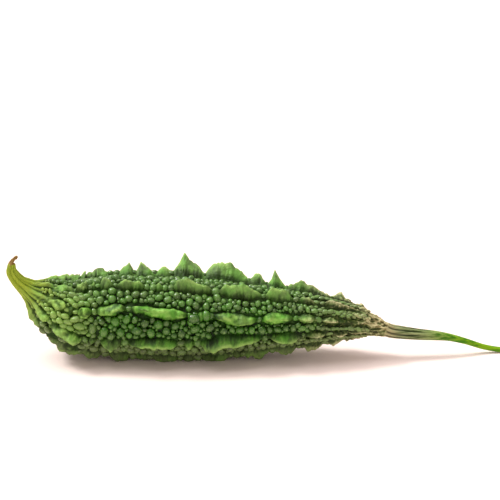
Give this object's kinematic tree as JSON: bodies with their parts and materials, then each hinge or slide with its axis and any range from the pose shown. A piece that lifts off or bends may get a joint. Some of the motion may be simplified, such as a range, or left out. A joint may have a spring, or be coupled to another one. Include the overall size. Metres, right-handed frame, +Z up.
{
  "type": "bitter gourd",
  "caption": "Warty bitter gourd lying on its side: broken toothed ridges with beady warts between, an upturned beak with a dried flower end, and a drooping stalk.",
  "frame": {"origin": "on the surface that the gourd lies on, at the middle of the footprint of fruit and stalk together", "axes": "+Z up; +X along the gourd from the beak to the cut end of the stalk; -Y is the side that the picture shows"},
  "size_m": [0.2617, 0.046, 0.0549],
  "materials": {
    "fruit_skin": "deep green waxy skin, paler on the crests and yellow-green at the beak",
    "stalk_green": "smooth green plant stalk",
    "dried_flower": "brown, dry and papery"
  },
  "bodies": {
    "root": {"fruit": "fruit_skin", "stalk": "stalk_green", "dried_flower_end": "dried_flower"}
  },
  "joints": []
}
